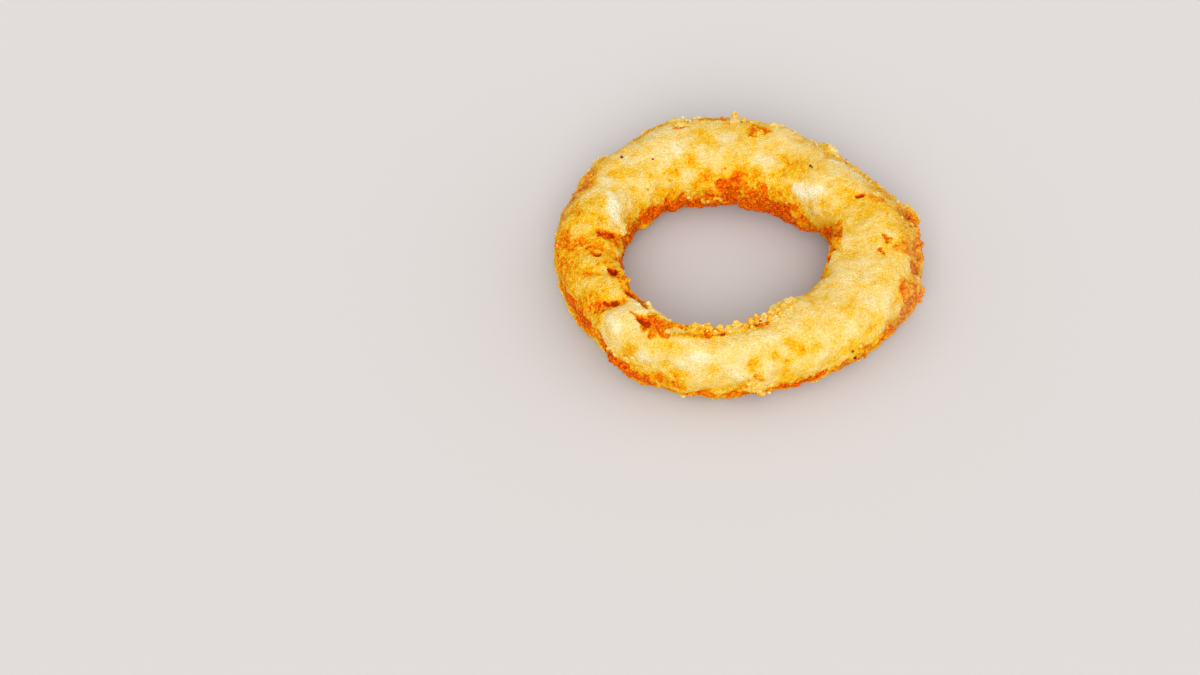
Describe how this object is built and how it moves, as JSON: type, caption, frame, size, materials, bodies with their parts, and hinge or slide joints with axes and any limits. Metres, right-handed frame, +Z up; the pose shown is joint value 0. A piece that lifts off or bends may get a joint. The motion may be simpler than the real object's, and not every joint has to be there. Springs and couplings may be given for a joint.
{
  "type": "onion ring",
  "caption": "Fried onion ring in a golden crumb crust, an uneven oval loop lying flat, with folds, crags and a ragged inner rim.",
  "frame": {"origin": "on the surface that the ring lies on, under the middle of its bounding box", "axes": "+Z up out of the ring's plane, +X along the ring's widest side, which is to the right in the picture"},
  "size_m": [0.0796, 0.0758, 0.0174],
  "materials": {
    "crumb_crust": "fried crumb coating, golden with paler patches on top and orange-brown rims, rough, with a faint film of oil"
  },
  "bodies": {
    "root": {"onion_ring": "crumb_crust"}
  },
  "joints": []
}
